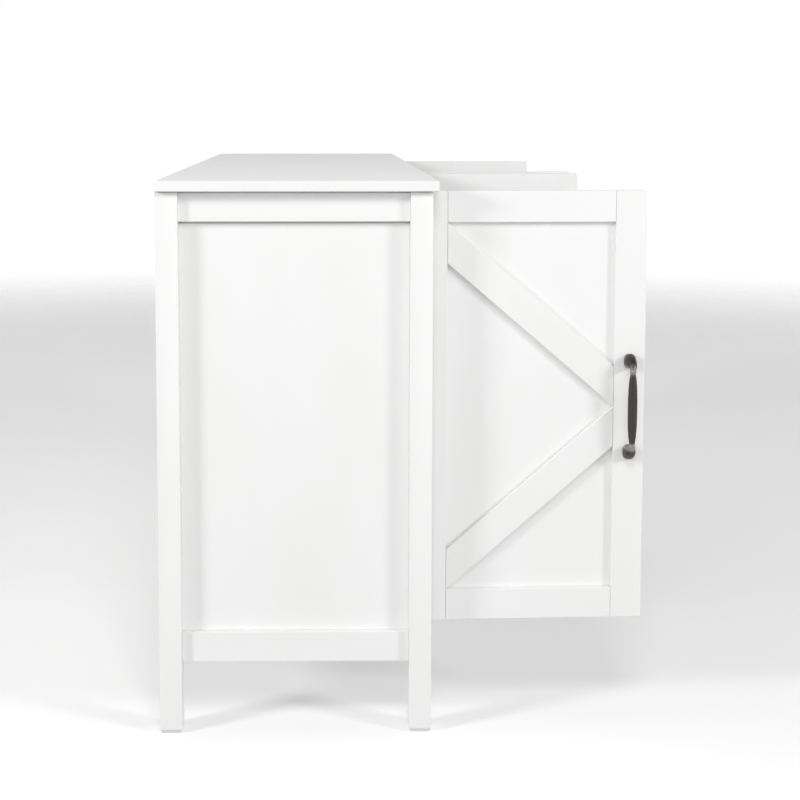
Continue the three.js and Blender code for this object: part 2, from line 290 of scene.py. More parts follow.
@dataclass(frozen=True)
class BlackenedZinc(Finish):
    """Die-cast zinc, blackened and then rubbed back by hand.

    It reads as a soft dark grey with a dull metal shine. Its ridges are painted lighter, partly as rubbed
    wear and partly as a painted highlight, and a band of painted highlight lies round each neck.
    """

    name: str = "blackened_cast_zinc_rubbed_and_highlit"
    slot: str = "dark_metal_pull"
    dark: str = "#4C4A48"
    # Light colour of the rubbed wear and of the painted highlights on the ridges and necks.
    rubbed_and_highlight: str = "#B2AFAA"
    shadow: str = "#3A3837"
    cast_mm: float = 1.1
    cast_depth_mm: float = 0.05
    # The necks between grip and feet get a band of painted highlight: its middle's height from the pull's
    # middle, and how far up and down from there the painted highlight fades out.
    neck_highlight_mm: Point2 = (56.0, 8.0)
    streak_mm: float = 1.6
    streak_stretch: float = 0.06

    def surface(self, tree: bpy.types.NodeTree) -> bpy.types.Node:
        """Build a dark cast metal streaked along its length, whose ridges are painted lighter as rubbed wear
        and painted highlight, with a band of painted highlight at the necks.

        Args:
            tree: The material's empty node tree.

        Returns:
            The shader's last node.
        """
        cast = self.noise(tree, self.cast_mm, detail=3.0)
        streak = self.noise(tree, self.streak_mm, stretch=self.streak_stretch)
        body = self.blend(tree, self.spread(tree, streak, 0.0, 1.0), self.dark, self.shadow)
        # The ridges are painted lighter: partly rubbed wear, partly a painted highlight.
        ridges = add_node(tree, "NewGeometry").outputs["Pointiness"]
        settings = {"From Min": 0.52, "From Max": 0.58, "To Min": 0.0, "To Max": 0.6}
        worn_and_highlit_ridges = add_node(tree, "MapRange", settings, {"Value": ridges}).outputs["Result"]
        # Painted highlight: a patchy band of lighter colour round each neck, fading out above and below.
        place = add_node(tree, "TexCoord").outputs["Object"]
        height = add_node(tree, "SeparateXYZ", links={"Vector": place}).outputs["Z"]
        away = add_node(tree, "Math", {"operation": "ABSOLUTE"}, {0: height}).outputs["Value"]
        from_neck = add_node(tree, "Math", {"operation": "SUBTRACT", 1: self.neck_highlight_mm[0] * MM}, {0: away})
        apart = add_node(tree, "Math", {"operation": "ABSOLUTE"}, {0: from_neck.outputs["Value"]})
        settings = {
            "From Min": 0.3 * self.neck_highlight_mm[1] * MM, "From Max": self.neck_highlight_mm[1] * MM,
            "To Min": 0.8, "To Max": 0.0, "interpolation_type": "SMOOTHSTEP",
        }
        painted_neck_highlight = add_node(tree, "MapRange", settings, {"Value": apart.outputs["Value"]}).outputs["Result"]
        uneven = self.spread(tree, cast, 0.3, 1.0)
        patchy_neck_highlight = add_node(tree, "Math", {"operation": "MULTIPLY"}, {0: painted_neck_highlight, 1: uneven})
        # Rubbed wear and painted highlight together set how much of the light colour is mixed in.
        wear_and_painted_highlight = add_node(tree, "Math", {"operation": "MAXIMUM"}, {0: worn_and_highlit_ridges, 1: patchy_neck_highlight.outputs["Value"]})
        settings = {"Color2": linear(self.rubbed_and_highlight)}
        colour = add_node(tree, "MixRGB", settings, {"Fac": wear_and_painted_highlight.outputs["Value"], "Color1": body})
        links = {
            "Base Color": colour.outputs["Color"],
            "Roughness": self.spread(tree, cast, 0.3, 0.46),
            "Normal": self.relief(tree, [(cast, self.cast_depth_mm)]),
        }
        return add_node(tree, "BsdfPrincipled", {"Metallic": 0.85}, links)


@dataclass(frozen=True)
class NickelPlatedSteel(Finish):
    """Pressed steel with a thin bright nickel plate, as on cup hinges and screws.

    It is a clean silver that stays a little cloudy, because the plate follows the rolled sheet under it.
    """

    name: str = "nickel_plated_pressed_steel"
    slot: str = "nickel_plated_steel"
    silver: str = "#C9C9C7"
    cloud: str = "#B2B2B0"
    cloud_mm: float = 6.0
    rolled_mm: float = 0.5
    rolled_depth_mm: float = 0.01

    def surface(self, tree: bpy.types.NodeTree) -> bpy.types.Node:
        """Build a bright metal with faint rolling lines and a cloudy tone.

        Args:
            tree: The material's empty node tree.

        Returns:
            The shader's last node.
        """
        cloud = self.noise(tree, self.cloud_mm)
        rolled = self.noise(tree, self.rolled_mm, stretch=20.0)
        links = {
            "Base Color": self.blend(tree, self.spread(tree, cloud, 0.0, 1.0), self.silver, self.cloud),
            "Roughness": self.spread(tree, rolled, 0.2, 0.34),
            "Normal": self.relief(tree, [(rolled, self.rolled_depth_mm)]),
        }
        return add_node(tree, "BsdfPrincipled", {"Metallic": 1.0}, links)


@dataclass(frozen=True)
class MouldedNylon(Finish):
    """White injection-moulded nylon, for the shelf pins' collars, the cover caps and the catches.

    Its skin is finely sparked by the mould, so it is matt, and a touch warmer than the lacquer.
    """

    name: str = "white_moulded_nylon"
    slot: str = "white_plastic"
    white: str = "#EAE9E4"
    shade: str = "#E2E1DB"
    spark_mm: float = 0.45
    spark_depth_mm: float = 0.02

    def surface(self, tree: bpy.types.NodeTree) -> bpy.types.Node:
        """Build a matt white plastic with a spark-eroded grain.

        Args:
            tree: The material's empty node tree.

        Returns:
            The shader's last node.
        """
        spark = self.noise(tree, self.spark_mm)
        links = {
            "Base Color": self.blend(tree, self.spread(tree, spark, 0.0, 1.0), self.white, self.shade),
            "Normal": self.relief(tree, [(spark, self.spark_depth_mm)]),
        }
        return add_node(tree, "BsdfPrincipled", {"IOR": 1.53, "Roughness": 0.48}, links)


@dataclass(frozen=True)
class StudioFloor(Finish):
    """Seamless white studio paper, which fades into the white surroundings well away from the sideboard.

    Attributes:
        fade_start: Distance from the middle at which the paper starts to fade.
        fade_end: Distance at which it is gone.
        glow: Light that comes through the paper from a lamp under it.
        wave_mm: Width of the slow changes in its white.
    """

    name: str = "white_seamless_paper"
    slot: str = ""
    white: str = "#FAFAFA"
    shade: str = "#F8F8F8"
    fade_start: float = 2.5
    fade_end: float = 6.5
    glow: float = 0.14
    wave_mm: float = 700.0

    def material(self) -> bpy.types.Material:
        """Make the paper's material, which turns clear towards its edge.

        Returns:
            The material.
        """
        made = bpy.data.materials.new(self.name)
        made.use_nodes = True
        tree = made.node_tree
        tree.nodes.clear()
        spot = add_node(tree, "TexCoord").outputs["Object"]
        away = add_node(tree, "VectorMath", {"operation": "LENGTH"}, {0: spot}).outputs["Value"]
        settings = {
            "From Min": self.fade_start, "From Max": self.fade_end, "interpolation_type": "SMOOTHSTEP",
        }
        clear = add_node(tree, "MapRange", settings, {"Value": away}).outputs["Result"]
        paper = self.surface(tree).outputs["BSDF"]
        edge = add_node(tree, "BsdfTransparent").outputs["BSDF"]
        mixed = add_node(tree, "MixShader", links={"Fac": clear, 1: paper, 2: edge})
        add_node(tree, "OutputMaterial", links={"Surface": mixed.outputs["Shader"]})
        return made

    def surface(self, tree: bpy.types.NodeTree) -> bpy.types.Node:
        """Build a very matt white with a slow unevenness.

        Args:
            tree: The material's empty node tree.

        Returns:
            The shader's last node.
        """
        wave = self.noise(tree, self.wave_mm)
        links = {"Base Color": self.blend(tree, self.spread(tree, wave, 0.0, 1.0), self.white, self.shade)}
        settings = {
            "Roughness": 0.9, "Specular IOR Level": 0.1,
            "Emission Color": (1.0, 1.0, 1.0, 1.0), "Emission Strength": self.glow,
        }
        return add_node(tree, "BsdfPrincipled", settings, links)


class Finishes(Enum):
    """The finishes that the sideboard has."""

    LACQUER = SprayedLacquer()
    HARDBOARD = LacqueredHardboard()
    PULL = BlackenedZinc()
    STEEL = NickelPlatedSteel()
    NYLON = MouldedNylon()
    FLOOR = StudioFloor()


# Mesh helpers --------------------------------------------------------------------------------


class Axis(Enum):
    """Turns that bring a shape's own +Z onto a row axis."""

    UP = Matrix.Identity(4)
    DOWN = Matrix.Rotation(math.pi, 4, "X")
    RIGHT = Matrix.Rotation(math.pi / 2, 4, "Y")
    LEFT = Matrix.Rotation(-math.pi / 2, 4, "Y")
    FRONT = Matrix.Rotation(math.pi / 2, 4, "X")
    BACK = Matrix.Rotation(-math.pi / 2, 4, "X")


class Shape:
    """A mesh in the making, of one or more closed shells."""

    def __init__(self) -> None:
        """Start with no shell."""
        self.bm = bmesh.new()

    def add_mesh(self, mesh: bpy.types.Mesh, matrix: Matrix) -> Shape:
        """Add a copy of a finished mesh.

        Args:
            mesh: The mesh, which is kept.
            matrix: Where the copy goes.

        Returns:
            The shape itself.
        """
        copy = mesh.copy()
        copy.transform(matrix)
        self.bm.from_mesh(copy)
        bpy.data.meshes.remove(copy)
        return self

    def add_rings(self, rings: Sequence[Sequence[Vector]]) -> Shape:
        """Skin a row of rings with quads and close its two ends.

        Args:
            rings: Rings of equally many points. A ring of one point closes that end as a tip.

        Returns:
            The shape itself.
        """
        made = [[self.bm.verts.new(point) for point in ring] for ring in rings]
        for near, far in zip(made, made[1:]):
            count = max(len(near), len(far))
            for i in range(count):
                j = (i + 1) % count
                corners = [near[i % len(near)], near[j % len(near)], far[j % len(far)], far[i % len(far)]]
                unique = list(dict.fromkeys(corners))
                self.bm.faces.new(unique)
        for ring in (made[0], made[-1]):
            if len(ring) > 2:
                self.bm.faces.new(ring)
        return self

    def add_lathe(self, profile: Sequence[Point2], steps: int, matrix: Matrix = Axis.UP.value) -> Shape:
        """Turn a profile round +Z.

        Args:
            profile: Radius and height of each of its points.
            steps: Number of sides.
            matrix: Where the turned shape goes.

        Returns:
            The shape itself.
        """
        rings = []
        for radius, height in profile:
            if radius < 1e-7:
                rings.append([matrix @ Vector((0.0, 0.0, height))])
                continue
            turns = (2 * math.pi * i / steps for i in range(steps))
            ring = (Vector((radius * math.cos(t), radius * math.sin(t), height)) for t in turns)
            rings.append([matrix @ point for point in ring])
        return self.add_rings(rings)

    def add_slab(
        self, outline: Sequence[Point2], low: float, high: float, matrix: Matrix = Axis.UP.value
    ) -> Shape:
        """Give a flat outline in X and Y a thickness from low to high along Z, then move it."""
        rings = [[matrix @ Vector((x, y, z)) for x, y in outline] for z in (low, high)]
        return self.add_rings(rings)

    def mesh(self, name: str) -> bpy.types.Mesh:
        """Turn the shape's faces outwards and end it as a mesh.

        Args:
            name: The mesh's name.

        Returns:
            The mesh.
        """
        bmesh.ops.recalc_face_normals(self.bm, faces=self.bm.faces)
        made = bpy.data.meshes.new(name)
        self.bm.to_mesh(made)
        self.bm.free()
        return made


def rectangle(x: Point2, y: Point2) -> list[Point2]:
    """Outline of a rectangle between two values of X and two of Y."""
    return [(x[0], y[0]), (x[1], y[0]), (x[1], y[1]), (x[0], y[1])]


def rounded_rectangle(width: float, tall: float, radius: float, steps: int = 6) -> list[Point2]:
    """Outline of a rectangle round the origin, with round corners.

    Args:
        width: Its size along X.
        tall: Its size along Y.
        radius: The corners' radius.
        steps: Number of straight pieces in each corner.

    Returns:
        The outline's points.
    """
    outline = []
    for quarter, (sx, sy) in enumerate(((1, 1), (-1, 1), (-1, -1), (1, -1))):
        centre = (sx * (width / 2 - radius), sy * (tall / 2 - radius))
        for i in range(steps + 1):
            angle = (quarter + i / steps) * math.pi / 2
            outline.append((centre[0] + radius * math.cos(angle), centre[1] + radius * math.sin(angle)))
    return outline


def carve(mesh: bpy.types.Mesh, tool: bpy.types.Mesh) -> bpy.types.Mesh:
    """Cut a mesh with a tool.

    Args:
        mesh: The mesh to work on, which is used up.
        tool: The mesh that cuts, which is used up.

    Returns:
        The new mesh.
    """
    holder = bpy.data.objects.new("carve_holder", mesh)
    cutter = bpy.data.objects.new("carve_cutter", tool)
    for each in (holder, cutter):
        bpy.context.scene.collection.objects.link(each)
    step = holder.modifiers.new("carve", "BOOLEAN")
    step.object, step.operation, step.solver = cutter, "DIFFERENCE", "EXACT"
    graph = bpy.context.evaluated_depsgraph_get()
    made = bpy.data.meshes.new_from_object(holder.evaluated_get(graph), depsgraph=graph)
    for each in (holder, cutter):
        bpy.data.objects.remove(each)
    for used in (mesh, tool):
        bpy.data.meshes.remove(used)
    return made


def place(
    mesh: bpy.types.Mesh,
    name: str,
    body: str,
    finish: Finishes,
    matrix: Matrix = Axis.UP.value,
    replaced: Sequence[str] = (),
    bevel: float = 0.0,
    smooth_degrees: float = 35.0,
) -> bpy.types.Object:
    """Make a piece of a mesh, dress it and let it ride on a body.

    Args:
        mesh: The piece's mesh, in its own axes.
        name: The piece's name.
        body: The CAD body that it moves with.
        finish: Its finish.
        matrix: Where it stands at rest.
        replaced: CAD nodes that it stands for.
        bevel: Radius of its eased edges, or zero for none.
        smooth_degrees: Edges that turn by more than this stay sharp.

    Returns:
        The piece.
    """
    piece = bpy.data.objects.new(name, mesh)
    bpy.context.scene.collection.objects.link(piece)
    piece.matrix_world = matrix
    mesh.materials.clear()
    mesh.materials.append(finish.value.material())
    mesh.polygons.foreach_set("use_smooth", [True] * len(mesh.polygons))
    mesh.set_sharp_from_angle(angle=math.radians(smooth_degrees))
    if bevel:
        ease = piece.modifiers.new("eased_edges", "BEVEL")
        ease.width, ease.segments, ease.harden_normals = bevel, 3, True
        ease.limit_method, ease.angle_limit = "ANGLE", math.radians(30)
    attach(piece, body)
    if replaced:
        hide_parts(*replaced)
    return piece


# Boards --------------------------------------------------------------------------------------


@dataclass
class Board:
    """One painted board, strip or post, with the CAD node's own outline and eased edges.

    Attributes:
        node: The CAD node that it stands for.
        body: The body that it moves with.
        bevel: Radius of its eased edges.
        finish: Its finish.
        bores: Round holes to cut, each as a centre, a direction and a radius, with its depth.
        reveal: Height of the shadow gap cut along the top edge of an end board's outer face.
        reveal_deep: How far that gap runs in from the face.
    """

    node: str
    body: str
    bevel: float = 1.0 * MM
    finish: Finishes = Finishes.LACQUER
    bores: list[tuple[Vector, Axis, float, float]] = field(default_factory=list)
    reveal: float = 0.0
    reveal_deep: float = 6.0 * MM

    def plain(self) -> tuple[bpy.types.Mesh, Matrix]:
        """Copy the CAD node's mesh, with each flat side as one face.

        Returns:
            The copy in the row frame, and the board's own axes.
        """
        bm = bmesh.new()
        bm.from_mesh(frame["nodes"][self.node].data)
        bmesh.ops.remove_doubles(bm, verts=bm.verts, dist=0.01 * MM)
        bmesh.ops.dissolve_limit(bm, angle_limit=math.radians(1), verts=bm.verts, edges=bm.edges)
        axes = self.own_axes(bm)
        mesh = bpy.data.meshes.new(self.node)
        bm.to_mesh(mesh)
        bm.free()
        return mesh, axes

    def own_axes(self, bm: bmesh.types.BMesh) -> Matrix:
        """Find the board's own axes: X along its length, and Z through its thickness.

        Args:
            bm: The board in the row frame.

        Returns:
            The matrix from the board's axes to the row frame. Its origin lies some way off the board and
            differs from board to board, so that no two show the same stretch of the lacquer's pattern.
        """
        longest = max(bm.edges, key=lambda edge: edge.calc_length())
        length = (longest.verts[1].co - longest.verts[0].co).normalized()
        widest = max(bm.faces, key=lambda face: face.calc_area())
        thickness = (widest.normal - widest.normal.dot(length) * length).normalized()
        across = thickness.cross(length)
        turn = Matrix((length, across, thickness)).transposed().to_4x4()
        shift = Vector((0.61, 0.37, 0.23)) * (sum(self.node.encode()) % 17)
        return Matrix.Translation(sum((v.co for v in bm.verts), Vector()) / len(bm.verts) + shift) @ turn

    def bored(self, mesh: bpy.types.Mesh) -> bpy.types.Mesh:
        """Cut the board's round holes.

        Args:
            mesh: The board in the row frame, which is used up if it has holes.

        Returns:
            The board with its holes.
        """
        if not self.bores:
            return mesh
        cutters = Shape()
        for centre, axis, radius, depth in self.bores:
            profile = [(0.0, -depth), (radius, -depth), (radius, depth), (0.0, depth)]
            cutters.add_lathe(profile, 20, Matrix.Translation(centre) @ axis.value)
        return carve(mesh, cutters.mesh("bores"))

    def rebated(self, mesh: bpy.types.Mesh) -> bpy.types.Mesh:
        """Cut the shadow gap, where the board meets what lies on it.

        Args:
            mesh: The board in the row frame, which is used up if it has a gap.

        Returns:
            The board with its gap.
        """
        if not self.reveal:
            return mesh
        spare = 1.0 * MM
        low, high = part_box(self.node)
        outer = max((low.x, high.x), key=abs)
        outwards = math.copysign(1.0, outer)
        near, far = sorted((outer - outwards * self.reveal_deep, outer + outwards * spare))
        outline = rectangle((near, far), (low.y - spare, high.y + spare))
        return carve(mesh, Shape().add_slab(outline, high.z - self.reveal, high.z + spare).mesh("reveal"))

    def build(self) -> bpy.types.Object:
        """Make the board.

        Returns:
            The finished piece.
        """
        mesh, axes = self.plain()
        mesh = self.rebated(self.bored(mesh))
        mesh.transform(axes.inverted())
        piece = place(
            mesh, f"{self.node}_finished", self.body, self.finish,
            matrix=axes, replaced=[self.node], bevel=self.bevel,
        )
        LOG.info("board %s", self.node)
        return piece


# Hardware ------------------------------------------------------------------------------------


@dataclass
class PanScrew:
    """A pan-head screw's head with its cross recess. It stands on z = 0 and points up.

    Attributes:
        radius: The head's radius.
        rise: The head's height.
    """

    radius: float = 3.6 * MM
    rise: float = 2.2 * MM

    def mesh(self) -> bpy.types.Mesh:
        """Turn the domed head and cut the cross into it.

        Returns:
            The head.
        """
        dome = [
            (self.radius * math.cos(t), self.rise * (0.35 + 0.65 * math.sin(t)))
            for t in (math.pi / 2 * i / 6 for i in range(6))
        ]
        profile = [(0.0, 0.0), (self.radius, 0.0), *dome, (0.0, self.rise)]
        head = Shape().add_lathe(profile, 24).mesh("pan_head")
        arm, blade = 0.62 * self.radius, 0.13 * self.radius
        cross = [
            (arm, -blade), (arm, blade), (blade, blade), (blade, arm), (-blade, arm), (-blade, blade),
            (-arm, blade), (-arm, -blade), (-blade, -blade), (-blade, -arm), (blade, -arm), (blade, -blade),
        ]
        return carve(head, Shape().add_slab(cross, 0.4 * self.rise, 2 * self.rise).mesh("cross"))


@dataclass(frozen=True)
class Station:
    """One section of a swept shape that keeps to the plane x = 0.

    Attributes:
        centre: The section's middle.
        direction: The way the sweep runs there.
        across: Half its width along X.
        deep: Half its width along the other way.
        power: Two for an ellipse, and more for a squarer section.
    """

    centre: Vector
    direction: Vector
    across: float
    deep: float
    power: float = 2.0

    def ring(self, sides: int) -> list[Vector]:
        """Find the points round the section.

        Args:
            sides: Number of points.

        Returns:
            The points, in order.
        """
        side = Vector((1.0, 0.0, 0.0))
        out = self.direction.cross(side)
        points = []
        for i in range(sides):
            c, s = math.cos(2 * math.pi * i / sides), math.sin(2 * math.pi * i / sides)
            reach = (abs(c) ** self.power + abs(s) ** self.power) ** (-1 / self.power)
            points.append(self.centre + side * self.across * reach * c + out * self.deep * reach * s)
        return points


@dataclass
class Pull:
    """A cast pull: two ringed feet that sweep inwards to a bead, and a grip thickest in the middle.

    In its own axes the door's face is y = 0, the pull stands out along -Y and its grip runs along Z.

    Attributes:
        centres: Distance between the feet's centres.
        foot_radius: Half the width of the foot's ring on the door.
        foot_stretch: How much longer the foot is, towards the grip.
        ring_deep: How far the foot's two rings stand off the door together.
        neck_drop: Height from the foot's centre to the end of the neck, where the bead is.
        offset: Distance of the grip's centre line from the door.
        grip_radius: Half the grip's width in the middle.
        neck_radius: Its radius where it is thinnest, just past the bead.
        flatness: The grip's thickness as a share of its width.
        sides: Number of sides of each section.
    """

    centres: float
    foot_radius: float = 8.5 * MM
    foot_stretch: float = 2.2 * MM
    ring_deep: float = 7.0 * MM
    neck_drop: float = 12.5 * MM
    offset: float = 24.0 * MM
    grip_radius: float = 6.8 * MM
    neck_radius: float = 3.7 * MM
    flatness: float = 0.86
    sides: int = 32

    def foot_stations(self) -> list[Station]:
        """Set the stations up one foot: two rings with a groove after each.

        Returns:
            The stations, from the door outwards.
        """
        out = Vector((0.0, -1.0, 0.0))
        pitch = self.ring_deep / 2
        inwards = Vector((0.0, 0.0, -self.foot_stretch))
        stations = []
        for ring, radius in enumerate((self.foot_radius, self.foot_radius - 0.3 * MM)):
            low, high = ring * pitch, (ring + 1) * pitch - 0.8 * MM
            groove = radius - 0.9 * MM
            for height, reach in (
                (low, groove), (low + 0.1 * MM, radius - 0.3 * MM), (low + 0.4 * MM, radius),
                (high - 0.4 * MM, radius), (high - 0.1 * MM, radius - 0.3 * MM), (high, groove),
            ):
                stations.append(Station(out * height + inwards, out, reach, reach + self.foot_stretch, 2.7))
        return stations

    def elbow_stations(self) -> list[Station]:
        """Set the stations along the sweep from the foot's rings out to the grip's line.

        Returns:
            The stations, from the rings to the end of the neck.
        """
        path = (
            Vector((0.0, -self.ring_deep, -self.foot_stretch)),
            Vector((0.0, -0.6 * self.offset, -0.28 * self.neck_drop)),
            Vector((0.0, -0.98 * self.offset, -0.42 * self.neck_drop)),
            Vector((0.0, -self.offset, -self.neck_drop)),
        )
        stations = []
        steps = 16
        for i in range(steps + 1):
            t = i / steps
            u = 1.0 - t
            first, middle, last = (path[j].lerp(path[j + 1], t) for j in range(3))
            near, far = first.lerp(middle, t), middle.lerp(last, t)
            centre, slope = near.lerp(far, t), far - near
            across = (4.2 + 3.7 * (1 - t**1.8)) * MM
            deep = across + self.foot_stretch * (1 - t) ** 1.5 - 0.3 * MM * t
            stations.append(Station(centre, slope.normalized(), across, deep, 2.0 + 0.7 * u * u))
        return stations

    def grip_radius_at(self, height: float, half: float) -> float:
        """Half the grip's width at a height, on a spindle that is full through its middle."""
        share = min(1.0, abs(height) / half)
        return self.neck_radius + (self.grip_radius - self.neck_radius) * (1 - share**3.2)

    def stations(self) -> list[Station]:
        """Set the stations from the upper foot along the grip to its middle.

        Returns:
            The stations, in order.
        """
        top = Vector((0.0, 0.0, self.centres / 2))
        foot = self.foot_stations() + self.elbow_stations()
        upper = [replace(each, centre=each.centre + top) for each in foot]
        neck_end = self.centres / 2 - self.neck_drop
        half = neck_end - 4.5 * MM
        down = Vector((0.0, 0.0, -1.0))
        bead = [(0.2, 4.1), (0.35, 4.7), (0.5, 4.9), (0.65, 4.7), (0.8, 4.1), (1.0, self.neck_radius / MM)]
        for share, radius_mm in bead:
            height = neck_end + (half - neck_end) * share
            upper.append(Station(Vector((0.0, -self.offset, height)), down, radius_mm * MM, radius_mm * MM))
        steps = 18
        for i in range(1, steps + 1):
            height = half * (1 - i / steps)
            across = self.grip_radius_at(height, half)
            deep = across * (1 - (1 - self.flatness) * min(1.0, 4 * (1 - height / half)))
            upper.append(Station(Vector((0.0, -self.offset, height)), down, across, deep))
        return upper

    def mesh(self) -> bpy.types.Mesh:
        """Sweep the stations into one closed mesh, the lower half mirrored from the upper.

        Returns:
            The pull's mesh.
        """
        upper = self.stations()
        flip = Matrix.Scale(-1.0, 3, (0.0, 0.0, 1.0))
        lower = [
            replace(each, centre=flip @ each.centre, direction=-(flip @ each.direction))
            for each in reversed(upper[:-1])
        ]
        return Shape().add_rings([each.ring(self.sides) for each in upper + lower]).mesh("cast_pull")


@dataclass(frozen=True)
class Hang:
    """How a door hangs: its body, its pivot line, and the turn that shuts it.

    Attributes:
        number: The door's number, from the left end.
        body: The door's body.
        pivot: A point on the hinge line, at height zero.
        shutting: The turn about +Z, in radians, that shuts the door from its rest position.
    """

    number: int
    body: str
    pivot: Vector
    shutting: float

    @classmethod
    def from_joint(cls, joint: dict) -> Hang:
        """Read a hang from one of the record's joints.

        Args:
            joint: The joint, as the frame gives it.

        Returns:
            How the joint's door hangs.
        """
        x, y, _ = joint["pos_m"]
        turn = math.radians(joint["range_deg"][0]) * joint["axis"][2]
        return cls(int(joint["child"].split("_")[1]), joint["child"], Vector((x, y, 0.0)), turn)

    @property
    def side(self) -> int:
        """One if the shut door lies to the right of its hinges, and minus one if to the left."""
        return 1 if self.shutting > 0 else -1

    @property
    def matrix(self) -> Matrix:
        """From the shut door's axes, with the pivot at the origin, to the door at rest."""
        return Matrix.Translation(self.pivot) @ Matrix.Rotation(-self.shutting, 4, "Z")

    def shut_box(self, node: str) -> tuple[Vector, Vector]:
        """Find the box of a node of this door, in the shut door's axes.

        Args:
            node: The node's name.

        Returns:
            Its lowest and highest corners.
        """
        back = self.matrix.inverted()
        points = [back @ vertex.co for vertex in frame["nodes"][node].data.vertices]
        return (
            Vector([min(p[i] for p in points) for i in range(3)]),
            Vector([max(p[i] for p in points) for i in range(3)]),
        )


@dataclass
class CupHinge:
    """One concealed hinge: the cup with its flange and link in the door, and the arm on the cabinet.

    Attributes:
        hang: How its door hangs.
        arm: The CAD node of its arm.
        cup_from_edge: Distance of the cup's centre from the door's hinge edge.
        cup_radius: The cup's outer radius.
        cup_deep: How deep the cup sits in the door.
        link_radius: Inner radius of the link's curve round the pivot.
        link_wide: Width of the link's side plates.
        web_thick: Thickness of the web that joins them.
        arm_half: Half the arm's height.
        plate_back: Distance of the mounting plate's face from the pivot, towards the side that carries it.
        arm_back: Distance of the arm's face from the pivot, the same way.
        fixing_behind: Distance of the plate's two fixing screws behind the pivot.
        fixing_half: Half the height between them.
        adjusting_behind: Distances of the arm's two adjusting screws behind the pivot.
    """

    hang: Hang
    arm: str
    cup_from_edge: float = 22.5 * MM
    cup_radius: float = 17.2 * MM
    cup_deep: float = 11.2 * MM
    link_radius: float = 18.2 * MM
    link_wide: float = 4.8 * MM
    web_thick: float = 1.2 * MM
    arm_half: float = 6.5 * MM
    plate_back: float = 13.0 * MM
    arm_back: float = 4.0 * MM
    fixing_behind: float = 49.5 * MM
    fixing_half: float = 16.0 * MM
    adjusting_behind: Point2 = (37.5 * MM, 64.5 * MM)

    def __post_init__(self) -> None:
        """Find the hinge's height and the door's edge and inner face in the frame."""
        low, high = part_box(self.arm)
        self.height = (low.z + high.z) / 2
        low, high = self.hang.shut_box(f"door_{self.hang.number}_panel")
        self.inner_face = high.y
        self.hinge_edge = low.x if self.hang.side > 0 else high.x

    def cup(self) -> bpy.types.Mesh:
        """Turn the pressed cup and its flange, standing in the door's inner face.

        Its own +Z is the way out of the door, and its X points along the door, away from the hinges.

        Returns:
            The cup's mesh, with its two screws.
        """
        wall = 0.8 * MM
        outer, inner = self.cup_radius, self.cup_radius - wall
        fillet = 3.0 * MM
        floor = -self.cup_deep
        curve = [math.pi / 2 * i / 5 for i in range(6)]
        outside = [(outer - fillet + fillet * math.sin(t), floor + fillet * (1 - math.cos(t))) for t in curve]
        inside = [
            (inner - fillet + fillet * math.cos(t), floor + wall + fillet * (1 - math.sin(t))) for t in curve
        ]
        rim = 0.9 * MM
        profile = [(0.0, floor), *outside, (outer, 0.02 * MM), (19.6 * MM, 0.02 * MM)]
        profile += [(19.6 * MM, rim * 0.7), (19.3 * MM, rim), (inner + 0.3 * MM, rim), (inner, rim * 0.7)]
        profile += [*inside, (0.0, floor + wall)]
        bowl = Shape().add_lathe(profile, 48).mesh("cup")
        ears = Shape()
        for end in (-1, 1):
            centre = Matrix.Translation((6.0 * MM, end * 21.5 * MM, 0.0))
            ears.add_slab(rounded_rectangle(12.0 * MM, 17.0 * MM, 5.0 * MM), 0.02 * MM, rim, centre)
        keep_clear = Shape().add_lathe(
            [(0.0, -rim), (inner + 0.3 * MM, -rim), (inner + 0.3 * MM, 2 * rim), (0.0, 2 * rim)], 48
        )
        tabs = carve(ears.mesh("ears"), keep_clear.mesh("clear"))
        joined = Shape().add_mesh(bowl, Matrix.Identity(4)).add_mesh(tabs, Matrix.Identity(4))
        screw = PanScrew(3.9 * MM, 2.0 * MM).mesh()
        for end in (-1, 1):
            joined.add_mesh(screw, Matrix.Translation((6.0 * MM, end * 24.0 * MM, rim)))
        return joined.mesh("hinge_cup")

    def link_outline(self, first: float, last: float, width: float) -> list[Point2]:
        """Draw the outline of a curved strip round the pivot.

        Args:
            first: The angle at which it starts, in degrees.
            last: The angle at which it ends.
            width: Its width.

        Returns:
            The outline's points.
        """
        steps = 14
        outline = []
        there = range(steps + 1)
        for radius, order in ((self.link_radius, there), (self.link_radius + width, reversed(there))):
            for i in order:
                angle = math.radians(first + (last - first) * i / steps)
                outline.append((radius * math.cos(angle), radius * math.sin(angle)))
        return outline

    def door_link(self) -> bpy.types.Mesh:
        """Build the door's link: two side plates beside the cabinet's link, a web, and two rivet heads.

        Returns:
            The link's mesh, with the pivot at its origin.
        """
        shape = Shape()
        inner, outer = self.arm_half + 0.3 * MM, self.arm_half + 1.4 * MM
        outline = self.link_outline(24.0, 103.0, self.link_wide)
        shape.add_slab(self.link_outline(24.0, 97.0, self.web_thick), -inner, inner)
        middle = self.link_radius + self.link_wide / 2
        tip = math.radians(100.0)
        rivet = [(0.0, 0.0), (1.9 * MM, 0.0), (1.9 * MM, 0.3 * MM), (1.3 * MM, 0.7 * MM), (0.0, 0.8 * MM)]
        for end in (-1, 1):
            shape.add_slab(outline, min(end * inner, end * outer), max(end * inner, end * outer))
            face = Matrix.Translation((middle * math.cos(tip), middle * math.sin(tip), end * outer))
            way = Axis.UP if end > 0 else Axis.DOWN
            shape.add_lathe(rivet, 16, face @ way.value)
        return shape.mesh("hinge_link")

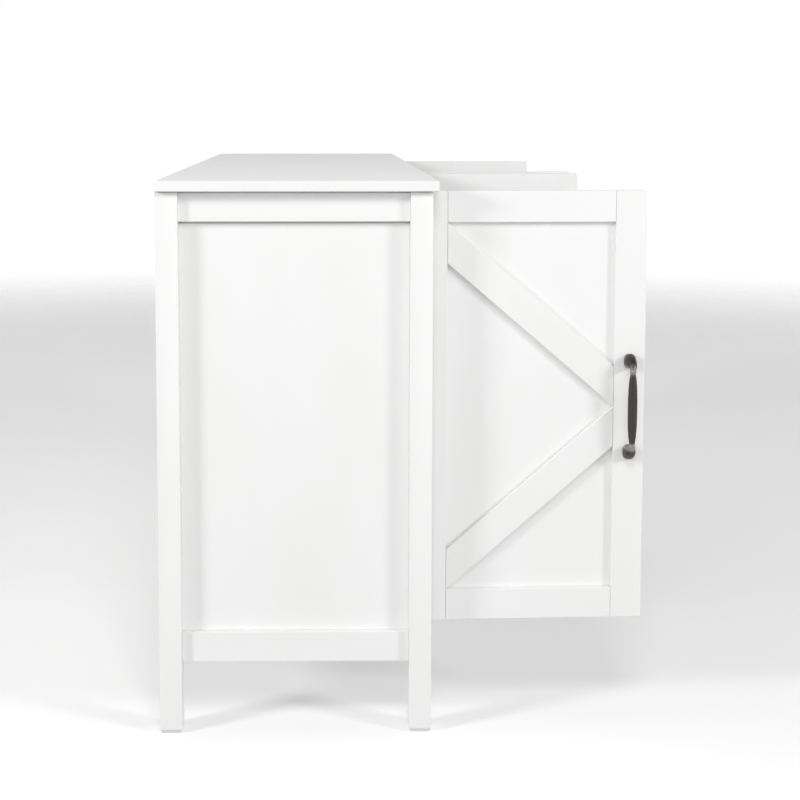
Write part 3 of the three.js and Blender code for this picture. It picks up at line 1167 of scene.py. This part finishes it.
    def build_door_half(self) -> None:
        """Put the cup and its link plates in the door."""
        hang = self.hang
        centre = Vector((self.hinge_edge + hang.side * self.cup_from_edge, self.inner_face, self.height))
        flip = Matrix.Identity(4) if hang.side > 0 else Matrix.Rotation(math.pi, 4, "Y")
        stand = hang.matrix @ Matrix.Translation(centre) @ flip @ Axis.BACK.value
        name = self.arm.replace("hinge_arm", "hinge_cup")
        place(self.cup(), name, hang.body, Finishes.STEEL, matrix=stand)
        link = self.door_link()
        if hang.side < 0:
            link.transform(Matrix.Scale(-1.0, 4, (1.0, 0.0, 0.0)))
            link.flip_normals()
        stand = hang.matrix @ Matrix.Translation((0.0, 0.0, self.height))
        name = self.arm.replace("hinge_arm", "hinge_link")
        place(link, name, hang.body, Finishes.STEEL, matrix=stand, bevel=0.2 * MM)

    def build_cabinet_half(self) -> None:
        """Dress the arm with eased edges, and put in its fixing and adjusting screws."""
        mesh, _ = Board(self.arm, "cabinet").plain()
        low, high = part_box(self.arm)
        side = self.hang.side
        base = low.x if side > 0 else high.x
        axis = Axis.RIGHT if side > 0 else Axis.LEFT
        pivot = self.hang.pivot
        centre = Matrix.Translation((0.0, 0.0, self.height))
        stand = Matrix.Translation((pivot.x, pivot.y, self.height))
        mesh.transform(stand.inverted())
        place(
            mesh, f"{self.arm}_pressed", "cabinet", Finishes.STEEL,
            matrix=stand, replaced=[self.arm], bevel=0.5 * MM,
        )
        screws = Shape()
        fixing = PanScrew(3.8 * MM, 2.1 * MM).mesh()
        for end in (-1, 1):
            lift = end * self.fixing_half
            spot = (pivot.x - side * self.plate_back, pivot.y + self.fixing_behind, lift)
            screws.add_mesh(fixing, centre @ Matrix.Translation(spot) @ axis.value)
        adjusting = PanScrew(2.9 * MM, 1.3 * MM).mesh()
        for behind in self.adjusting_behind:
            spot = (pivot.x - side * self.arm_back, pivot.y + behind, 0.0)
            screws.add_mesh(adjusting, centre @ Matrix.Translation(spot) @ axis.value)
        name = self.arm.replace("hinge_arm", "hinge_screws")
        place(screws.mesh(name), name, "cabinet", Finishes.STEEL)
        LOG.info("hinge %s on base %.3f", self.arm, base)


# Sub-assemblies ------------------------------------------------------------------------------


@dataclass
class Door:
    """One door: panel, stiles, rails, braces, its pull with screws, and a strike plate.

    Attributes:
        hang: How the door hangs.
        strip_bevel: Radius of the strips' eased edges.
        foot_wide: Width of the CAD pull's feet, which its length counts in.
        strike_edge: Distance of the strike plate's middle from the door's free edge.
        strike_below: Distance of its middle below the stretcher.
    """

    hang: Hang
    strip_bevel: float = 0.8 * MM
    foot_wide: float = 19.0 * MM
    strike_edge: float = 14.0 * MM
    strike_below: float = 6.0 * MM

    def build_boards(self) -> None:
        """Build the panel and the six strips on it."""
        prefix = f"door_{self.hang.number}_"
        strips = ("hinge_stile", "handle_stile", "top_rail", "bottom_rail", "brace_upper", "brace_lower")
        for strip in strips:
            Board(prefix + strip, self.hang.body, bevel=self.strip_bevel).build()
        Board(prefix + "panel", self.hang.body, bevel=1.0 * MM).build()

    def build_pull(self) -> None:
        """Build the pull on the handle stile, and its two screws on the door's inner face."""
        node = f"door_{self.hang.number}_handle"
        low, high = self.hang.shut_box(node)
        middle = (low + high) / 2
        pull = Pull(centres=(high.z - low.z) - self.foot_wide)
        stile = self.hang.shut_box(f"door_{self.hang.number}_handle_stile")
        stand = self.hang.matrix @ Matrix.Translation((middle.x, stile[0].y, middle.z))
        place(
            pull.mesh(), f"door_{self.hang.number}_pull", self.hang.body, Finishes.PULL,
            matrix=stand, replaced=[node], smooth_degrees=60.0,
        )
        inner = self.hang.shut_box(f"door_{self.hang.number}_panel")[1].y
        screws = Shape()
        head = PanScrew(4.3 * MM, 2.4 * MM).mesh()
        for end in (-1, 1):
            spot = Matrix.Translation((middle.x, inner, middle.z + end * pull.centres / 2))
            screws.add_mesh(head, self.hang.matrix @ spot @ Axis.BACK.value)
        name = f"door_{self.hang.number}_pull_screws"
        place(screws.mesh(name), name, self.hang.body, Finishes.STEEL)

    def build_strike(self) -> None:
        """Build the small steel plate that meets the magnetic catch, near the door's upper free corner."""
        low, high = self.hang.shut_box(f"door_{self.hang.number}_panel")
        free_edge = high.x if self.hang.side > 0 else low.x
        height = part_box("front_top_stretcher")[0].z - self.strike_below
        spot = Vector((free_edge - self.hang.side * self.strike_edge, high.y, height))
        plate = Shape()
        stand = Matrix.Translation(spot) @ Axis.BACK.value
        plate.add_slab(rounded_rectangle(20.0 * MM, 11.0 * MM, 2.0 * MM), 0.0, 0.9 * MM, stand)
        head = PanScrew(2.6 * MM, 0.2 * MM).mesh()
        plate.add_mesh(head, Matrix.Translation((0.0, 0.88 * MM, 0.0)) @ stand)
        mesh = plate.mesh("strike")
        name = f"door_{self.hang.number}_strike_plate"
        place(mesh, name, self.hang.body, Finishes.STEEL, matrix=self.hang.matrix, bevel=0.15 * MM)

    def build(self) -> None:
        """Build the whole door."""
        self.build_boards()
        self.build_pull()
        self.build_strike()
        LOG.info("door %d", self.hang.number)


@dataclass
class Carcass:
    """The cabinet: top, posts, end frames, inner boards, back panel and shelves.

    Attributes:
        pin_radius: Radius of the shelf pin holes.
        pin_pitch: Height between two holes of a row.
        pin_inset: Distance of each row of holes from the shelf's front or back edge.
        pin_below: Distance of the pins' middles below the shelf.
        leg_reveal: Height of the shadow gap over each leg.
        rail_reveal: Height of the one over each end's top rail.
        panel_reveal: Height of the one over each end's panel, under that rail.
    """

    pin_radius: float = 2.5 * MM
    pin_pitch: float = 50.0 * MM
    pin_inset: float = 38.0 * MM
    pin_below: float = 4.0 * MM
    leg_reveal: float = 1.4 * MM
    rail_reveal: float = 2.8 * MM
    panel_reveal: float = 3.0 * MM

    def pin_rows(self) -> list[tuple[float, float]]:
        """Find the pins that carry a shelf, at the front and at the back.

        Returns:
            The Y and Z of each.
        """
        low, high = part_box("shelf_left")
        height = low.z - self.pin_below
        return [(low.y + self.pin_inset, height), (high.y - self.pin_inset, height)]

    def pin_holes(self, face: float, axis: Axis, depth: float) -> list[tuple[Vector, Axis, float, float]]:
        """The rows of shelf pin holes in one side face.

        Args:
            face: X of the face.
            axis: The way the holes run.
            depth: How deep they are.

        Returns:
            The holes, for Board.bores.
        """
        return [
            (Vector((face, y, height + step * self.pin_pitch)), axis, self.pin_radius, depth)
            for y, height in self.pin_rows()
            for step in (-2, -1, 1, 2)
        ]

    def build_boards(self) -> None:
        """Build every board of the cabinet but the back panel."""
        eased = {
            "tabletop": 1.6, "front_bottom_rail": 0.8, "bottom_panel": 0.6, "centre_post": 1.0,
            "front_top_stretcher": 0.8, "centre_foot": 1.2, "shelf_left": 0.8, "shelf_right": 0.8,
        }
        for side in ("left", "right"):
            eased[f"end_rail_bottom_{side}"] = 0.8
            for end in ("front", "back"):
                Board(f"leg_{end}_{side}", "cabinet", 1.1 * MM, reveal=self.leg_reveal).build()
        for node, bevel_mm in eased.items():
            Board(node, "cabinet", bevel=bevel_mm * MM).build()
        for side, corner in (("left", 1), ("right", 0)):
            Board(f"end_rail_top_{side}", "cabinet", 0.5 * MM, reveal=self.rail_reveal).build()
            node = f"end_panel_{side}"
            holes = self.pin_holes(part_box(node)[corner].x, Axis.RIGHT, 5.0 * MM)
            Board(node, "cabinet", 0.5 * MM, bores=holes, reveal=self.panel_reveal).build()
        low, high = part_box("centre_divider")
        holes = [hole for x in (low.x, high.x) for hole in self.pin_holes(x, Axis.RIGHT, 5.5 * MM)]
        Board("centre_divider", "cabinet", 0.6 * MM, bores=holes).build()

    def build_back(self) -> None:
        """Build the back panel with the nails along its edges and down its middle."""
        Board("back_panel", "cabinet", 0.4 * MM, Finishes.HARDBOARD).build()
        low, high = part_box("back_panel")
        nails = Shape()
        head = [(0.0, 0.0), (2.3 * MM, 0.0), (2.3 * MM, 0.35 * MM), (1.6 * MM, 0.75 * MM), (0.0, 0.85 * MM)]
        inset = 7.0 * MM
        along = 12
        upright = 6
        spots = set()
        for i in range(along + 1):
            x = low.x + inset + (high.x - low.x - 2 * inset) * i / along
            spots |= {(x, low.z + inset), (x, high.z - inset)}
        for i in range(1, upright):
            z = low.z + inset + (high.z - low.z - 2 * inset) * i / upright
            spots |= {(low.x + inset, z), (high.x - inset, z), (0.0, z)}
        for x, z in sorted(spots):
            nails.add_lathe(head, 16, Matrix.Translation((x, high.y, z)) @ Axis.BACK.value)
        place(nails.mesh("nails"), "back_panel_nails", "cabinet", Finishes.STEEL)

    def build_pins(self) -> None:
        """Build four pins under each shelf: a steel peg in the side, and the nylon collar on it."""
        length, radius, play = 9.0 * MM, 2.4 * MM, 1.0 * MM
        peg = [(0.0, -length / 2), (radius, -length / 2), (radius, length - 0.4 * MM)]
        peg += [(radius - 0.5 * MM, length), (0.0, length)]
        low, high = 0.1 * MM, 1.6 * MM
        collar = [(0.0, low), (4.6 * MM, low), (4.6 * MM, high - 0.3 * MM), (4.2 * MM, high), (0.0, high)]
        for side in ("left", "right"):
            ends = [corner.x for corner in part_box(f"shelf_{side}")]
            pegs, seats = Shape(), Shape()
            for x, turn in ((ends[0] - play, Axis.RIGHT), (ends[1] + play, Axis.LEFT)):
                for y, height in self.pin_rows():
                    stand = Matrix.Translation((x, y, height)) @ turn.value
                    pegs.add_lathe(peg, 18, stand)
                    seats.add_lathe(collar, 24, stand)
            place(pegs.mesh("pegs"), f"shelf_pins_{side}", "cabinet", Finishes.STEEL)
            place(seats.mesh("seats"), f"shelf_pin_collars_{side}", "cabinet", Finishes.NYLON)

    def build_caps(self) -> None:
        """Build the nylon caps over the cam fittings that hold the tabletop to the ends and the divider."""
        radius, rise, margin = 7.5 * MM, 1.3 * MM, 60.0 * MM
        dome = [(0.0, 0.0), (radius, 0.0), (radius, 0.4 * rise)]
        dome += [(radius - 0.7 * MM, 0.85 * rise), (0.0, rise)]
        low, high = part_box("centre_divider")
        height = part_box("tabletop")[0].z - 34.0 * MM
        faces = (
            (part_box("end_panel_left")[1].x, Axis.RIGHT), (low.x, Axis.LEFT),
            (high.x, Axis.RIGHT), (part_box("end_panel_right")[0].x, Axis.LEFT),
        )
        caps = Shape()
        for x, turn in faces:
            for y in (low.y + margin, high.y - margin):
                caps.add_lathe(dome, 28, Matrix.Translation((x, y, height)) @ turn.value)
        place(caps.mesh("caps"), "cam_cover_caps", "cabinet", Finishes.NYLON)

    def build_catches(self) -> None:
        """Build a double magnetic catch on the stretcher in the middle of each bay."""
        low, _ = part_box("front_top_stretcher")
        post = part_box("centre_post")[1].x
        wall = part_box("end_panel_right")[0].x
        deep, tall = 22.0 * MM, 12.0 * MM
        front = low.y - 8.3 * MM
        for name, x in (("left", -(post + wall) / 2), ("right", (post + wall) / 2)):
            middle = Vector((x, front + deep / 2, low.z))
            outline = rounded_rectangle(48.0 * MM, deep, 2.0 * MM)
            body = Shape().add_slab(outline, -tall, -0.05 * MM, Matrix.Translation(middle))
            place(body.mesh("catch"), f"catch_{name}", "cabinet", Finishes.NYLON, bevel=0.6 * MM)
            metal = Shape()
            head = PanScrew(2.8 * MM, 1.6 * MM).mesh()
            for end in (-1, 1):
                face = Vector((x + end * 12.0 * MM, front, low.z - tall / 2))
                outline = rounded_rectangle(12.0 * MM, 7.0 * MM, 0.8 * MM)
                metal.add_slab(outline, -1.0 * MM, 0.4 * MM, Matrix.Translation(face) @ Axis.FRONT.value)
                under = Matrix.Translation(middle + Vector((end * 12.0 * MM, 3.0 * MM, -tall)))
                metal.add_mesh(head, under @ Axis.DOWN.value)
            place(metal.mesh("magnets"), f"catch_magnets_{name}", "cabinet", Finishes.STEEL)

    def build(self) -> None:
        """Build the whole cabinet."""
        self.build_boards()
        self.build_back()
        self.build_pins()
        self.build_caps()
        self.build_catches()
        LOG.info("carcass")


# Studio --------------------------------------------------------------------------------------


@dataclass(frozen=True)
class SoftBox:
    """A square soft light that faces the sideboard.

    Attributes:
        name: The light's name.
        place: Where it hangs.
        size: The length of its sides.
        power: Its power in watts.
    """

    name: str
    place: tuple[float, float, float]
    size: float
    power: float

    def build(self, target: Vector) -> None:
        """Hang the light and aim it.

        Args:
            target: The point that it faces.
        """
        lamp = bpy.data.lights.new(self.name, "AREA")
        lamp.size, lamp.energy = self.size, self.power
        light = bpy.data.objects.new(self.name, lamp)
        bpy.context.scene.collection.objects.link(light)
        light.location = self.place
        light.rotation_euler = (target - Vector(self.place)).to_track_quat("-Z", "Y").to_euler()


@dataclass
class Studio:
    """The white studio: paper floor, white surroundings, three soft boxes and the camera.

    Attributes:
        front: Strength of the surroundings before the left end, above the horizon.
        horizon: Their strength along the whole horizon, and above it on the other sides.
        zenith: Share of it that is left overhead.
        below: Share of it that is left below.
        floor_half: Half the floor's side.
        lights: The soft boxes.
        aim: The point that they face.
        lens: The camera's focal length in millimetres.
        camera_place: Where it stands.
        pitch_down: How far it looks down, in degrees.
        yaw_right: How far it is turned from the sideboard's length to its front side.
        shift: How far its film is shifted, as shares of the film's width.
    """

    front: float = 0.56
    horizon: float = 1.02
    zenith: float = 0.32
    below: float = 0.4
    floor_half: float = 7.0
    lights: tuple[SoftBox, ...] = (
        SoftBox("soft_box_left", (-2.7, 3.4, 2.1), 0.75, 67.0),
        SoftBox("soft_box_right", (-2.9, -3.6, 1.9), 0.75, 54.0),
        SoftBox("soft_box_above", (-2.8, -0.2, 2.6), 0.7, 19.0),
    )
    aim: tuple[float, float, float] = (-0.4, -0.15, 0.42)
    lens: float = 70.6
    camera_place: tuple[float, float, float] = (-2.9255, -0.0379, 0.8954)
    pitch_down: float = 5.375
    yaw_right: float = 0.895
    shift: tuple[float, float] = (0.068, -0.175)

    def build_floor(self) -> None:
        """Lay the floor just under the feet."""
        span = (-self.floor_half, self.floor_half)
        mesh = Shape().add_slab(rectangle(span, span), -0.02, 0.0).mesh("studio_floor")
        floor = bpy.data.objects.new("studio_floor", mesh)
        bpy.context.scene.collection.objects.link(floor)
        floor.data.materials.append(Finishes.FLOOR.value.material())
        floor.visible_diffuse = floor.visible_shadow = False

    def build_surroundings(self) -> None:
        """Light the room: full along the horizon, and less below, overhead and high before the left end."""
        world = bpy.data.worlds.new("white_studio")
        bpy.context.scene.world = world
        world.use_nodes = True
        tree = world.node_tree
        tree.nodes.clear()
        way = add_node(tree, "TexCoord").outputs["Generated"]
        parts = add_node(tree, "SeparateXYZ", links={"Vector": way})

        def ramp(
            value: bpy.types.NodeSocket, first: Point2, last: Point2, end: bpy.types.NodeSocket | None = None
        ) -> bpy.types.NodeSocket:
            """Map a value smoothly between two points.

            Args:
                value: The value to map.
                first: Where the change starts, and the result up to there.
                last: Where it ends, and the result from there on.
                end: A socket that gives the last result instead.

            Returns:
                The result.
            """
            settings = {
                "From Min": first[0], "To Min": first[1], "From Max": last[0], "To Max": last[1],
                "interpolation_type": "SMOOTHSTEP",
            }
            links = {"Value": value} | ({"To Max": end} if end else {})
            return add_node(tree, "MapRange", settings, links).outputs["Result"]

        ahead = ramp(parts.outputs["X"], (-0.75, self.front), (0.1, self.horizon))
        aloft = ramp(parts.outputs["Z"], (0.0, self.horizon), (0.3, self.front), end=ahead)
        overhead = ramp(parts.outputs["Z"], (0.3, 1.0), (0.9, self.zenith))
        under = ramp(parts.outputs["Z"], (-0.35, self.below), (-0.14, 1.0))
        upper = add_node(tree, "Math", {"operation": "MULTIPLY"}, {0: aloft, 1: overhead}).outputs["Value"]
        whole = add_node(tree, "Math", {"operation": "MULTIPLY"}, {0: upper, 1: under}).outputs["Value"]
        glow = add_node(tree, "Background", {"Color": (1.0, 1.0, 1.0, 1.0)}, {"Strength": whole})
        add_node(tree, "OutputWorld", links={"Surface": glow.outputs["Background"]})

    def build_camera(self) -> None:
        """Set the camera a little higher than the tabletop, looking along the sideboard from its left end."""
        data = bpy.data.cameras.new("camera")
        data.lens, data.sensor_width = self.lens, 36.0
        data.shift_x, data.shift_y = self.shift
        data.clip_end = 60.0
        camera = bpy.data.objects.new("camera", data)
        bpy.context.scene.collection.objects.link(camera)
        camera.location = self.camera_place
        pitch, yaw = math.radians(self.pitch_down), math.radians(self.yaw_right)
        ahead = Vector((math.cos(yaw) * math.cos(pitch), -math.sin(yaw) * math.cos(pitch), -math.sin(pitch)))
        camera.rotation_euler = ahead.to_track_quat("-Z", "Y").to_euler()
        bpy.context.scene.camera = camera

    def build(self) -> None:
        """Build the floor, the lights and the camera."""
        self.build_floor()
        self.build_surroundings()
        for light in self.lights:
            light.build(Vector(self.aim))
        self.build_camera()
        bpy.context.scene.view_settings.view_transform = "Standard"
        LOG.info("studio")


def main() -> None:
    """Build the studio and the sideboard."""
    logging.basicConfig(level=logging.INFO, format="%(message)s")
    Studio().build()
    Carcass().build()
    for hang in map(Hang.from_joint, frame["joints"]):
        Door(hang).build()
        for level in ("lower", "upper"):
            hinge = CupHinge(hang, f"hinge_arm_{hang.number}_{level}")
            hinge.build_door_half()
            hinge.build_cabinet_half()


if __name__ == "__main__":
    main()
